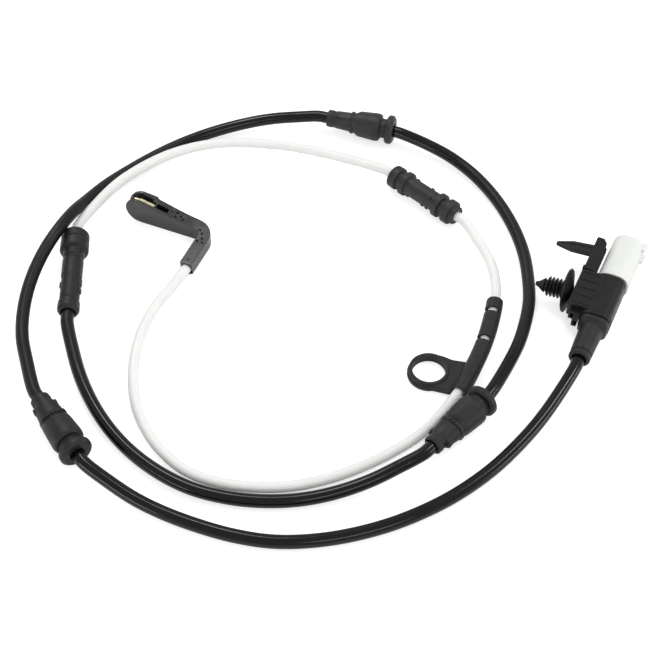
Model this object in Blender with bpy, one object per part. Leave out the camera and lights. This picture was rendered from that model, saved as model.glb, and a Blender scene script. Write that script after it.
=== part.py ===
"""Brake pad wear sensor: an angled sensor head, its lead with grommets and clips, and the plug.

Lengths are in millimetres and become metres when a mesh is made. X runs to the right, Y away
and Z up; the lead lies loose on the plane z = 0, and the rigid pieces are centred on the origin.
"""

import math

import bmesh
import bpy
from mathutils import Matrix, Vector

MM = 0.001
WELD = 2e-6                  # metres
FIT = 0.3                    # clearance between pieces that seat in or on each other
SIDES = 24                   # facets round a large turned piece
SMALL_SIDES = 16             # facets round a small one
RING_SIDES = 32              # facets round the clip's ring
WIDE_FILLET = 5.0            # radius from which a fillet gets twice the facets

# Leads
SLEEVE_D = 4.1               # white outer sleeve, head to splice
CABLE_D = 5.0                # black cable, splice to plug
SLEEVE_ENTRY = 10.0          # how far the sleeve runs into the head
SPLICE_ENTRY = 14.0          # how far each lead runs into the splice
BOOT_ENTRY = 12.0            # how far the cable runs into the boot
STEP_DIAMETERS = 2.9         # spacing of the lead's points

# Sensor head
HEAD_AT = (-83.2, 59.9, 0.0)
HEAD_HEADING = -22.8
HEAD_TIP = -0.6              # end of the blade along its own axis
BLADE_H = 12.2               # blade height at the tip
LEG_H = 6.8                  # height of the bend and the leg
BLADE_SLOPE_END = 28.0       # where the blade's top has come down to the leg's height
HEAD_LEG_X = 36.4            # middle of the leg, along the blade
LEG_W = 5.2
LEG_END = -18.8
BEND_R = 9.0                 # outside of the bend
FAR_SIDE = 4.7               # far side of the leg, across the blade
SLOT_NEAR, SLOT_FAR = 1.2, 3.7
SLOT_LENGTH = 12.4
SLOT_FLOOR = 3.0
POCKET = (13.0, 18.2)
RIM_W = 0.6                  # rim that the near face keeps along its top edge
FACE_RECESS = 0.3
STRIP_START, STRIP_STEP = 3.4, 6.0
STRIP_THIN, STRIP_WIDE = 0.6, 1.2
STRIP_DROP = 0.5             # how far the strip's top lies below the blade's
SCOOP_DEPTH = 1.0            # hollow in the far cheek, round the blade's tip
SCOOP_R = (5.5, 4.2)         # its radius at the slot and at its bottom
HEAD_LEAD_Z = 3.2
MOUTH_DEPTH = 1.2
MOUTH_MARGIN = 0.2
PIN_HOLE_D = 0.95
PIN_HOLE_DEPTH = 2.0
PIN_HOLES = ((21.6, 3.9), (21.7, 1.7), (23.7, 2.9), (24.9, 1.7), (5.6, 4.9), (33.5, 0.0),
             (35.1, -1.5), (36.3, -3.9), (35.0, -5.8), (37.4, -5.9), (36.2, -16.4))
EJECTOR_MARK = (19.5, 3.2, 1.2)
CHEEK_STEP = ((12.4, 6.1, 0), (11.4, 6.9, 0.5), (3.4, 6.1, 0))

# Ring clip
RING_AT = (36.9, -21.8)
RING_OUTER_D = 16.3
RING_HOLE_D = 12.7
RING_H = 3.8
RING_STEP_Z, RING_STEP = 1.7, 0.5   # the ring's lower rim stands out from the upper one
WEB_Z = (0.5, 3.2)
CLIP_TUBE_D = 6.6
CLIP_SPAN = (0.6, 48.2)      # the tube's ends along the sleeve's own route through the clip
CLIP_SLITS = ((27.4, 2.2), (42.2, 2.2))
SPINE_W = 2.8
WEB_FAR = ((3.0, 7.2), (5.7, 6.3), (8.9, 4.6))       # the web's two edges, from the ring's centre
WEB_NEAR = ((6.9, -9.9), (-2.4, -7.3))
WEB_ROOT = 14.6              # how far the web runs along the tube

# Double flange grommet, one on the sleeve
DOUBLE_AT = (26.6, 80.4)
DOUBLE_HEADING = -43.9
DOUBLE_FLANGE_D = 10.3
DOUBLE_END_D = 9.8
DOUBLE_BODY_D = 8.0
DOUBLE_LENGTH = 34.9
DOUBLE_BODY = (8.9, 24.3)
DOUBLE_FLANGE_T = 2.8
DOUBLE_NECK_D = 7.5
DOUBLE_LIP_D = 7.8
DOUBLE_LIP_L = 2.1
DOUBLE_LAST_T = 3.5          # thickness of the flange next to the lip
DOUBLE_NUB = 0.45
DOUBLE_NUBS = ((2.1, 30), (10.1, 30), (2.1, 211), (10.1, 211), (12.4, 211))
DOUBLE_PIT = (13.6, 125, 1.1)

# Splice moulding between sleeve and cable
SPLICE_AT = (-102.3, 45.2)
SPLICE_HEADING = -87.4
SPLICE_LENGTH = 41.6
SPLICE_FLANGE_D = 11.4
SPLICE_BODY_D = 8.3
SPLICE_WAIST_D = 7.7         # body next to the collar
SPLICE_COLLAR_D = 8.5
SPLICE_COLLAR_L = 5.4
SPLICE_KEYS = ((24.8, 10, 3.6), (29.6, 10, 2.4), (25.6, 190, 2.8))     # place, angle and length
SPLICE_NOTCH = (23.2, 170, 1.2)

# Bracket grommet, three on the cable
GROMMET_PLACES = {
    "grommet_near": (36.0, -58.9, 46.1, 0.0),
    "grommet_far": (-0.9, 115.2, -15.8, -50.0),
    "grommet_left": (-105.6, -37.9, -55.6, 0.0),
}
GROMMET_FLANGE_D = 12.4
GROMMET_FLANGE_T = 3.3
GROMMET_LENGTH = 29.6
GROMMET_COLLAR_D = 7.4
GROMMET_COLLAR_L = 2.8
GROMMET_BARREL_D = 12.1
GROMMET_GROOVE_D = 8.4
GROMMET_GROOVE_W = 2.6
GROMMET_SADDLE = (5.3, 4.2)  # half width and half height of the saddle at the rib
GROMMET_RIB_X = 11.2
GROMMET_RIB_RISE = 0.5
GROMMET_GATE = 2.1           # square pocket in the middle of the rib
GROMMET_BOSS_X = 4.9
GROMMET_BOSS_D = 2.8

# Plug: boot, housing, insert and what fastens it
PLUG_AT = (92.46, -19.53)
PLUG_HEADING = 65.5
PLUG_H = 12.4                # height of the housing over the surface
BOOT_END_D = 8.3
BOOT_TOP_D = 9.2
BOOT_LENGTH = 18.4
BOOT_SHOULDER = 15.0
SQUARENESS = 3.4             # power of the housing's oval section
HOUSING_LENGTH = 22.0
HOUSING_W = 12.0
BLOCK_SIDE = 11.7            # outer face of the ribbed block, left of the cable's axis
BLOCK_BOTTOM = 5.6
RIB_COUNT = 5
RIB_PITCH = 4.05
RIB_W = 0.7
RIB_RISE = 0.35
SIDE_SLOT_W = 0.8            # two upright slots in the housing's right side
INSERT_W = 12.9
INSERT_SHIFT = 0.3           # the insert's axis, right of the cable's
INSERT_LENGTH = 23.5
INSERT_ROOT = 8.0            # length of the insert's stem inside the housing
STEM_D = 9.0
TOOTH_Z = (-3.4, 3.0)        # two keying teeth beside the insert's nose
TOOTH_RISE, TOOTH_T = 1.1, 1.7
TERMINAL_W, TERMINAL_H, TERMINAL_L = 2.8, 0.8, 14.0
TERMINAL_PITCH = 4.6
TERMINAL_RECESS = 1.0
BAR_W, BAR_H = 4.4, 4.4
LEDGE_W, LEDGE_Z = 0.6, (0.6, 3.0)    # thin ledge on the bar's inner side, from its underside
BAR_LENGTH = 18.4
TONGUE_W, TONGUE_H, TONGUE_L = 3.0, 2.6, 7.4
BAR_SIDE = 11.5              # outer face of the bar
DART_X = 12.0                # the dart from the bar's root
DART_L = 14.6
DART_W, DART_T = 4.4, 2.8
DART_SECTION = ((-1, -1), (1, -1), (1, 1), (0.45, 1), (0.25, 0.5), (-0.25, 0.5), (-0.45, 1), (-1, 1))
PIN_TILT = 7.0               # how far the dart and the fir tree point down
TREE_X = 10.2                # the fir tree from the housing's rear face
TREE_Z = 9.0
UMBRELLA_D = 17.4
TREE_FIN_D = 8.0
TREE_FINS = 5
TREE_FIRST = 3.9             # first fin, from the block's outer face
TREE_PITCH = 1.45
TREE_CORE_D = 4.6
TREE_STEM_D = 3.6
TREE_SOCKET = 3.2            # how far the stem runs into the block

# Route of the leads between the pieces they run through, as (x, y, z)
HEAD_TO_CLIP = (
    (-60.6, 20.0, 2.7), (-66.6, 9.5, 2.2), (-71.0, -1.5, 2.1), (-73.2, -13.0, 2.1),
    (-73.2, -25.0, 2.1), (-70.6, -38.8, 2.1), (-65.3, -50.4, 2.1), (-58.7, -59.4, 2.1),
    (-50.6, -66.6, 2.1), (-40.6, -71.0, 2.1), (-28.6, -73.2, 2.1), (-14.0, -73.0, 2.1),
    (0.0, -69.5, 2.1), (12.6, -64.0, 2.1), (24.0, -57.2, 2.1), (34.0, -49.2, 2.1),
    (41.6, -40.4, 2.4),
)
CLIP_ROUTE = (
    (46.9, -33.2, 3.2), (50.2, -27.8, 3.2), (53.3, -21.2, 3.2), (56.7, -13.4, 3.2),
    (59.7, -5.2, 3.2), (62.2, 3.6, 3.2), (64.1, 12.0, 3.2), (64.9, 18.6, 3.2),
)
CLIP_TO_DOUBLE = ((64.7, 27.0, 3.5), (62.7, 35.4, 4.0), (59.0, 44.2, 4.7))
DOUBLE_TO_SPLICE = (
    (16.0, 87.0, 5.1), (3.8, 91.9, 5.0), (-8.6, 96.0, 5.0), (-21.4, 98.9, 5.1),
    (-34.3, 100.2, 5.3), (-45.4, 99.6, 5.6), (-56.3, 96.9, 5.8), (-67.2, 91.6, 6.2),
    (-77.3, 83.6, 6.7), (-86.9, 73.6, 6.9), (-94.4, 63.0, 6.4),
)
SPLICE_TO_NEAR = (
    (-96.6, -13.8, 4.6), (-92.5, -25.6, 3.6), (-86.5, -38.0, 3.0), (-79.2, -49.2, 2.7),
    (-70.4, -59.2, 2.6), (-59.6, -68.0, 2.6), (-48.0, -74.4, 2.6), (-34.8, -78.2, 2.6),
    (-22.5, -79.5, 2.6), (-10.4, -79.0, 2.8), (1.7, -76.6, 3.4), (13.8, -72.4, 4.5),
    (24.4, -66.9, 5.4),
)
NEAR_TO_FAR = (
    (66.4, -20.9, 5.5), (71.2, -10.4, 4.8), (75.1, 1.9, 3.6), (77.4, 12.7, 3.0),
    (78.1, 23.5, 2.7), (77.7, 37.0, 2.6), (75.5, 49.7, 2.6), (71.3, 63.1, 2.6),
    (65.6, 75.2, 2.7), (58.8, 85.1, 3.2), (50.7, 93.5, 4.2), (41.6, 100.5, 5.1),
)
FAR_TO_LEFT = (
    (-13.1, 117.0, 5.8), (-26.1, 116.0, 5.3), (-39.1, 113.2, 4.2), (-52.0, 108.6, 3.4),
    (-60.5, 104.4, 3.0), (-69.2, 98.8, 2.8), (-77.6, 92.0, 2.9), (-85.6, 84.2, 3.4),
    (-93.0, 75.4, 4.6), (-99.8, 64.6, 7.0), (-105.2, 53.6, 9.6), (-109.6, 42.8, 11.0),
    (-113.0, 32.4, 10.8), (-115.9, 18.8, 9.4), (-117.2, 5.4, 8.1), (-116.0, -8.5, 7.1),
    (-112.8, -20.9, 6.4),
)
LEFT_TO_PLUG = (
    (-77.5, -72.6, 4.9), (-67.4, -79.4, 3.8), (-56.5, -84.9, 3.0), (-44.1, -89.8, 2.6),
    (-32.2, -93.5, 2.6), (-20.3, -95.6, 2.6), (-8.5, -95.6, 2.6), (5.0, -93.6, 2.6),
    (18.8, -89.6, 2.6), (31.0, -84.3, 2.6), (43.6, -77.0, 2.7), (57.2, -66.4, 3.0),
    (69.9, -53.3, 3.8), (78.9, -41.9, 4.8),
)

RUBBER = (0.030, 0.030, 0.032, 1)
PLASTIC = (0.040, 0.040, 0.042, 1)
WHITE = (0.86, 0.87, 0.84, 1)
NYLON = (0.80, 0.85, 0.80, 1)
BRASS = (0.74, 0.60, 0.30, 1)


def frame_at(x, y, z, heading, roll=0.0):
    """Places a piece's own X axis along a heading in degrees, rolled about that axis."""
    turn = Matrix.Rotation(math.radians(heading), 4, "Z") @ Matrix.Rotation(math.radians(roll), 4, "X")
    return Matrix.Translation((x, y, z)) @ turn


def along(frame, x, y=0.0, z=0.0):
    """A point of a piece's frame, in assembly coordinates."""
    return tuple(frame @ Vector((x, y, z)))


def make_mesh(name, verts, faces):
    """A closed mesh object from points in millimetres, with its faces turned outward."""
    mesh = bpy.data.meshes.new(name)
    mesh.from_pydata([[c * MM for c in v] for v in verts], [], faces)
    obj = bpy.data.objects.new(name, mesh)
    bpy.context.scene.collection.objects.link(obj)
    turn_faces_out(obj)
    return obj


def turn_faces_out(obj):
    work = bmesh.new()
    work.from_mesh(obj.data)
    bmesh.ops.recalc_face_normals(work, faces=work.faces)
    work.to_mesh(obj.data)
    work.free()


def bridge(rings, closed_along):
    """Quads between neighbouring rings of indices; a ring of one point repeated gives triangles."""
    faces = []
    count = len(rings[0])
    pairs = list(zip(rings, rings[1:] + rings[:1] if closed_along else rings[1:]))
    for low, high in pairs:
        for i in range(count):
            j = (i + 1) % count
            face = []
            for k in (low[i], low[j], high[j], high[i]):
                if k not in face:
                    face.append(k)
            if len(face) > 2:
                faces.append(face)
    return faces


def turned(name, profile, sides=SIDES):
    """Revolves an (x, radius) outline about X; it closes on itself unless both ends lie on the axis."""
    verts, rings = [], []
    for x, r in profile:
        if r == 0:
            rings.append([len(verts)] * sides)
            verts.append((x, 0, 0))
            continue
        rings.append(list(range(len(verts), len(verts) + sides)))
        for i in range(sides):
            a = 2 * math.pi * i / sides - math.pi / 2
            verts.append((x, r * math.cos(a), r * math.sin(a)))
    return make_mesh(name, verts, bridge(rings, profile[0][1] > 0))


def loft(name, sections):
    """Skins rings of points and caps the two ends."""
    verts = [p for ring in sections for p in ring]
    n = len(sections[0])
    rings = [list(range(k * n, (k + 1) * n)) for k in range(len(sections))]
    return make_mesh(name, verts, bridge(rings, False) + [rings[0], rings[-1]])


def oval(x, half_w, half_h, y=0.0, z=0.0, power=2.0, sides=SIDES):
    """A superellipse section across X."""
    ring = []
    for i in range(sides):
        a = 2 * math.pi * i / sides - math.pi / 2
        c, s = math.cos(a), math.sin(a)
        ring.append((x, y + half_w * math.copysign(abs(c) ** (2 / power), c),
                     z + half_h * math.copysign(abs(s) ** (2 / power), s)))
    return ring


def prism(name, outline, low, high):
    """Extrudes an XY outline from z = low to z = high."""
    return loft(name, [[(x, y, z) for x, y in outline] for z in (low, high)])


def box(name, x, y, z):
    return prism(name, [(x[0], y[0]), (x[1], y[0]), (x[1], y[1]), (x[0], y[1])], *z)


def rod(name, radius, x0, x1, sides=SMALL_SIDES):
    return turned(name, [(x0, 0), (x0, radius), (x1, radius), (x1, 0)], sides)


def filleted(corners, steps=4):
    """Rounds the corners (x, y, radius) of a closed outline."""
    out = []
    for i, (x, y, r) in enumerate(corners):
        p = Vector((x, y))
        if r == 0:
            out.append((x, y))
            continue
        a = (Vector(corners[i - 1][:2]) - p).normalized()
        b = (Vector(corners[(i + 1) % len(corners)][:2]) - p).normalized()
        half = a.angle(b) / 2
        centre = p + (a + b).normalized() * r / math.sin(half)
        start = p + a * r / math.tan(half) - centre
        end = p + b * r / math.tan(half) - centre
        sweep = start.angle_signed(end)
        count = steps if r < WIDE_FILLET else 2 * steps
        for k in range(count + 1):
            turn = Matrix.Rotation(-sweep * k / count, 2)
            out.append(tuple(centre + turn @ start))
    return out


def softened(profile, size):
    """Breaks each outer corner of a turned profile by a small chamfer."""
    out = []
    for i, (x, r) in enumerate(profile):
        if r == 0 or i in (0, len(profile) - 1):
            out.append((x, r))
            continue
        p = Vector((x, r))
        a, b = Vector(profile[i - 1]) - p, Vector(profile[i + 1]) - p
        cut = min(size, a.length / 2.5, b.length / 2.5)
        if abs(math.pi - a.angle(b)) < 0.3:
            out.append((x, r))
        else:
            out.extend([tuple(p + a.normalized() * cut), tuple(p + b.normalized() * cut)])
    return out


def combine(target, tool, operation):
    """Applies one exact Boolean to target and removes the tool."""
    change = target.modifiers.new(operation, "BOOLEAN")
    change.operation = operation
    change.solver = "EXACT"
    change.object = tool
    graph = bpy.context.evaluated_depsgraph_get()
    result = bpy.data.meshes.new_from_object(target.evaluated_get(graph))
    target.modifiers.clear()
    target.data = result
    bpy.data.objects.remove(tool)
    weld(target)
    return target


def weld(obj):
    """Merges the points that a Boolean leaves on top of each other."""
    work = bmesh.new()
    work.from_mesh(obj.data)
    bmesh.ops.remove_doubles(work, verts=work.verts, dist=WELD)
    bmesh.ops.dissolve_degenerate(work, edges=work.edges, dist=WELD)
    work.to_mesh(obj.data)
    work.free()


def cut(target, tool):
    return combine(target, tool, "DIFFERENCE")


def join(target, tool):
    return combine(target, tool, "UNION")


def moved(obj, matrix):
    """Moves a mesh by a matrix whose translation is in millimetres."""
    scaled = matrix.copy()
    scaled.translation = matrix.translation * MM
    obj.data.transform(scaled)
    obj.data.update()
    return obj


def finish(obj, name, colour, roughness=0.6, metallic=0.0):
    """Names a piece, gives it a material and smooths its shallow edges."""
    obj.name = name
    obj.data.name = name
    material = bpy.data.materials.new(name)
    material.use_nodes = True
    shader = material.node_tree.nodes["Principled BSDF"]
    shader.inputs["Base Color"].default_value = colour
    shader.inputs["Roughness"].default_value = roughness
    shader.inputs["Metallic"].default_value = metallic
    material.diffuse_color = colour
    obj.data.materials.clear()
    obj.data.materials.append(material)
    if obj.type == "MESH":
        obj.data.polygons.foreach_set("use_smooth", [True] * len(obj.data.polygons))
        obj.data.set_sharp_from_angle(angle=math.radians(32))
    return obj


def spline_points(points, spacing):
    """Centripetal Catmull-Rom curve through the points, at steps no longer than spacing."""
    pts = [Vector(p) for p in points]
    pts = [2 * pts[0] - pts[1]] + pts + [2 * pts[-1] - pts[-2]]
    out = []
    for p0, p1, p2, p3 in zip(pts, pts[1:], pts[2:], pts[3:]):
        t1 = math.sqrt((p1 - p0).length)
        t2 = t1 + math.sqrt((p2 - p1).length)
        t3 = t2 + math.sqrt((p3 - p2).length)
        steps = max(1, math.ceil((p2 - p1).length / spacing - 1e-6))
        for k in range(steps):
            t = t1 + (t2 - t1) * k / steps
            a1 = p0.lerp(p1, t / t1)
            a2 = p1.lerp(p2, (t - t1) / (t2 - t1))
            a3 = p2.lerp(p3, (t - t2) / (t3 - t2))
            b1 = a1.lerp(a2, t / t2)
            b2 = a2.lerp(a3, (t - t1) / (t3 - t1))
            out.append(b1.lerp(b2, (t - t1) / (t2 - t1)))
    out.append(pts[-2])
    return out


def through(frame, start, end, lead=4.0):
    """Route points that keep a lead straight and on the axis of a piece that it runs through."""
    step = lead if end > start else -lead
    return tuple(along(frame, x) for x in (start - step, start, (start + end) / 2, end, end + step))


def thinned(points, spacing):
    """Drops points that lie closer together than the spacing, and keeps both ends."""
    out = [points[0]]
    for p in points[1:-1]:
        if (p - out[-1]).length >= spacing * 0.62:
            out.append(p)
    if (points[-1] - out[-1]).length < spacing * 0.4:
        out.pop()
    return out + [points[-1]]


def lead_tube(name, route, diameter, colour, roughness):
    """A round lead along a smooth curve through its route."""
    spacing = STEP_DIAMETERS * diameter
    points = thinned(spline_points(route, spacing), spacing)
    data = bpy.data.curves.new(name, "CURVE")
    data.dimensions = "3D"
    data.bevel_depth = diameter / 2 * MM
    data.bevel_resolution = 3
    data.use_fill_caps = True
    spline = data.splines.new("POLY")
    spline.points.add(len(points) - 1)
    for slot, p in zip(spline.points, points):
        slot.co = (p.x * MM, p.y * MM, p.z * MM, 1)
    obj = bpy.data.objects.new(name, data)
    bpy.context.scene.collection.objects.link(obj)
    return finish(obj, name, colour, roughness)


def swept_rod(name, points, radius, sides=SMALL_SIDES):
    """A round bar along a list of points, square to it at both ends."""
    sections = []
    for i, p in enumerate(points):
        tangent = (points[min(i + 1, len(points) - 1)] - points[max(i - 1, 0)]).normalized()
        side = tangent.cross(Vector((0, 0, 1))).normalized()
        up = side.cross(tangent)
        ring = []
        for k in range(sides):
            a = 2 * math.pi * k / sides
            ring.append(tuple(p + side * radius * math.cos(a) + up * radius * math.sin(a)))
        sections.append(ring)
    return loft(name, sections)


def bore_radius(diameter):
    return diameter / 2 + FIT


def blade_top(x):
    """Height of the head's top face at a distance along the blade."""
    start = HEAD_TIP + BLADE_H / 2
    share = min(max((x - start) / (BLADE_SLOPE_END - start), 0), 1)
    return BLADE_H + (LEG_H - BLADE_H) * share


def head_side_profile():
    """The blade's side view: a round tip, a top that slopes down, then the level leg."""
    radius = BLADE_H / 2
    centre = HEAD_TIP + radius
    points = []
    for k in range(13):
        a = math.radians(270 - 15 * k)
        points.append((centre + radius * math.cos(a), radius + radius * math.sin(a)))
    points.append((BLADE_SLOPE_END, LEG_H))
    points.append((BLADE_SLOPE_END + 20, LEG_H))
    points.append((BLADE_SLOPE_END + 20, 0))
    return points


def sensor_head():
    """L-shaped moulding that stands on edge: slotted blade, bend, and a leg that takes the sleeve."""
    inner, outer = HEAD_LEG_X - LEG_W / 2, HEAD_LEG_X + LEG_W / 2
    plan = filleted([
        (HEAD_TIP - 1, 0.0, 0), (inner, 0.0, 3.0), (inner, LEG_END, 0.3), (outer, LEG_END, 0.3),
        (outer, FAR_SIDE, BEND_R), *CHEEK_STEP, (HEAD_TIP - 1, 5.6, 0),
    ])
    body = prism("head", plan, -1.0, BLADE_H + 2)
    sections = [[(x, y, z) for x, z in head_side_profile()] for y in (LEG_END - 5, 15.0)]
    combine(body, loft("side", sections), "INTERSECT")
    top = BLADE_H + 4
    cut(body, box("slot", (HEAD_TIP - 3, SLOT_LENGTH), (SLOT_NEAR, SLOT_FAR), (SLOT_FLOOR, top)))
    ledge = box("ledge", (HEAD_TIP - 3, SLOT_LENGTH - 1.6), (SLOT_FAR - 0.2, SLOT_FAR + 1.0),
                (blade_top(SLOT_LENGTH) - 1.4, top))
    cut(body, ledge)
    cut(body, scoop())
    cut(body, box("pocket", POCKET, (SLOT_NEAR + 0.1, SLOT_FAR - 0.1), (SLOT_FLOOR, top)))
    recess = [(HEAD_TIP - 3, -1.0), (inner - 3.4, -1.0), (inner - 3.4, LEG_H - RIM_W),
              (BLADE_SLOPE_END, LEG_H - RIM_W), (HEAD_TIP + BLADE_H / 2, BLADE_H - RIM_W),
              (HEAD_TIP - 3, BLADE_H - RIM_W)]
    cut(body, loft("face", [[(x, y, z) for x, z in recess] for y in (-2.0, FACE_RECESS)]))
    bore = rod("bore", bore_radius(SLEEVE_D), -2.0, SLEEVE_ENTRY + FIT)
    mouth = rod("mouth", bore_radius(SLEEVE_D) + MOUTH_MARGIN, -2.0, MOUTH_DEPTH)
    entry = Matrix.Translation((HEAD_LEG_X, LEG_END, HEAD_LEAD_Z)) @ Matrix.Rotation(math.pi / 2, 4, "Z")
    cut(body, moved(mouth, entry))
    cut(body, moved(bore, entry))
    drill(body, [(x, y, PIN_HOLE_D, PIN_HOLE_DEPTH) for x, y in PIN_HOLES])
    drill(body, [(EJECTOR_MARK[0], EJECTOR_MARK[1], EJECTOR_MARK[2], 0.4)])
    return finish(moved(body, head_frame()), "sensor_head", PLASTIC, 0.5)


def scoop():
    """Tool for the hollow that opens the mouth of the slot round the blade's tip."""
    wide, narrow = SCOOP_R
    cone = turned("scoop", [(SLOT_FAR - 0.1, 0), (SLOT_FAR - 0.1, wide), (SLOT_FAR + SCOOP_DEPTH, narrow),
                            (SLOT_FAR + SCOOP_DEPTH, 0)])
    centre = Matrix.Translation((HEAD_TIP + BLADE_H / 2, 0, BLADE_H / 2))
    moved(cone, centre @ Matrix.Rotation(math.pi / 2, 4, "Z"))
    above = box("above", (HEAD_TIP - 3, SLOT_LENGTH), (SLOT_FAR - 1, SLOT_FAR + 3), (SLOT_FLOOR, BLADE_H + 2))
    return combine(cone, above, "INTERSECT")


def drill(body, holes):
    """Blind holes down into the head's top face."""
    down = Matrix.Rotation(math.pi / 2, 4, "Y")
    for x, y, diameter, depth in holes:
        tool = rod("hole", diameter / 2, -2.0, depth, 8)
        cut(body, moved(tool, Matrix.Translation((x, y, blade_top(x))) @ down))


def head_frame():
    return frame_at(*HEAD_AT, HEAD_HEADING)


def spring_strip():
    """Brass strip that stands in the head's slot."""
    near, low = SLOT_NEAR + FIT, SLOT_FLOOR + FIT
    sections = []
    for x, thickness in ((STRIP_START, STRIP_THIN), (HEAD_TIP + BLADE_H / 2, STRIP_THIN),
                         (STRIP_STEP, STRIP_WIDE), (SLOT_LENGTH - FIT, STRIP_WIDE)):
        far, top = near + thickness, blade_top(x) - STRIP_DROP
        sections.append([(x, near, low), (x, far, low), (x, far, top), (x, near, top)])
    return finish(moved(loft("strip", sections), head_frame()), "spring_strip", BRASS, 0.3, 1.0)


def clip_curve(start, end, step=3.0):
    """Points of the sleeve's curve between two distances along its route through the clip."""
    fine = spline_points(CLIP_TO_DOUBLE_FULL, 0.5)
    first = min(range(len(fine)), key=lambda i: (fine[i] - Vector(CLIP_ROUTE[0])).length)
    out, run, wanted = [], 0.0, start
    for a, b in zip(fine[first:], fine[first + 1:]):
        length = (b - a).length
        while run + length >= wanted and wanted <= end + 1e-6:
            out.append(a.lerp(b, (wanted - run) / length))
            wanted += (end - start) / round((end - start) / step)
        run += length
    return out


def ring_clip():
    """Flat ring on a web, moulded to a tube that snaps round the sleeve."""
    start, end = CLIP_SPAN
    body = swept_rod("clip", clip_curve(start, end), CLIP_TUBE_D / 2)
    cx, cy = RING_AT
    root = clip_curve(start + 0.8, start + 0.8 + WEB_ROOT, WEB_ROOT / 2)
    far, near = ([(cx + x, cy + y) for x, y in edge] for edge in (WEB_FAR, WEB_NEAR))
    web = prism("web", far + [(p.x, p.y) for p in reversed(root)] + near, *WEB_Z)
    upright = Matrix.Translation((cx, cy, 0)) @ Matrix.Rotation(-math.pi / 2, 4, "Y")
    radius = RING_OUTER_D / 2
    upper = radius - RING_STEP
    ring = turned("ring", [
        (0, 0), (0, radius - 0.3), (0.3, radius), (RING_STEP_Z, radius), (RING_STEP_Z + 0.2, upper),
        (RING_H - 0.3, upper), (RING_H, upper - 0.3), (RING_H, 0),
    ], RING_SIDES)
    join(web, moved(ring, upright))
    join(body, web)
    cut(body, moved(rod("hole", RING_HOLE_D / 2, -2, RING_H + 2, RING_SIDES), upright))
    cut(body, swept_rod("bore", clip_curve(start - 2.0, end + 2.0), bore_radius(SLEEVE_D) + 0.05))
    for place, width in CLIP_SLITS:
        a, b = clip_curve(place - width / 2, place + width / 2, width)
        slit = swept_rod("slit", [a, b], CLIP_TUBE_D)
        side = (b - a).cross(Vector((0, 0, 1))).normalized()
        heading = math.degrees(math.atan2((b - a).y, (b - a).x))
        keep = frame_at(*(a + side * CLIP_TUBE_D * 0.5), heading)
        spine = moved(box("spine", (-4, 4), (-CLIP_TUBE_D, SPINE_W / 2), (-8, 8)), keep)
        cut(body, cut(slit, spine))
    return finish(body, "ring_clip", PLASTIC, 0.55)


def double_frame():
    return frame_at(*DOUBLE_AT, DOUBLE_FLANGE_D / 2, DOUBLE_HEADING)


def disc(x0, x1, radius, before, after):
    """Outline of a disc with rounded rims, from the radius before it to the one after it."""
    rim = 0.4
    return [(x0, before), (x0, radius - rim), (x0 + rim, radius), (x1 - rim, radius),
            (x1, radius - rim), (x1, after)]


def double_grommet():
    """Rubber grommet with two flanges at each end of a plain barrel, and a lip beyond the last one."""
    end_r, flange_r, body_r = DOUBLE_END_D / 2, DOUBLE_FLANGE_D / 2, DOUBLE_BODY_D / 2
    neck, lip = DOUBLE_NECK_D / 2, DOUBLE_LIP_D / 2
    start, stop = DOUBLE_BODY
    bore = bore_radius(SLEEVE_D)
    last = DOUBLE_LENGTH - DOUBLE_LIP_L
    outline = [
        (0, bore), (0, end_r - 0.6), (0.5, end_r - 0.1), (1.2, end_r - 0.1), (1.5, end_r - 0.5),
        (1.8, end_r), (3.6, end_r), (4.1, end_r - 0.6), (4.1, neck),
        *disc(start - DOUBLE_FLANGE_T, start, flange_r, neck, body_r),
        *disc(stop, stop + DOUBLE_FLANGE_T, flange_r, body_r, neck),
        *disc(last - DOUBLE_LAST_T, last, flange_r, neck, lip),
        (DOUBLE_LENGTH - 0.3, lip), (DOUBLE_LENGTH, lip - 0.3), (DOUBLE_LENGTH, bore),
    ]
    body = turned("double", outline, SIDES)
    for x, angle in DOUBLE_NUBS:
        nub = box("nub", (start + x - 0.6, start + x + 0.6), (body_r - 0.8, body_r + DOUBLE_NUB), (-0.5, 0.5))
        join(body, moved(nub, Matrix.Rotation(math.radians(angle), 4, "X")))
    x, angle, diameter = DOUBLE_PIT
    pit = moved(rod("pit", diameter / 2, body_r - 0.6, body_r + 2, 8), Matrix.Rotation(math.pi / 2, 4, "Z"))
    turn = Matrix.Rotation(math.radians(angle), 4, "X")
    cut(body, moved(pit, Matrix.Translation((start + x, 0, 0)) @ turn))
    return finish(moved(body, double_frame()), "double_grommet", RUBBER, 0.75)


def splice_frame():
    return frame_at(*SPLICE_AT, SPLICE_FLANGE_D / 2, SPLICE_HEADING)


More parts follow.
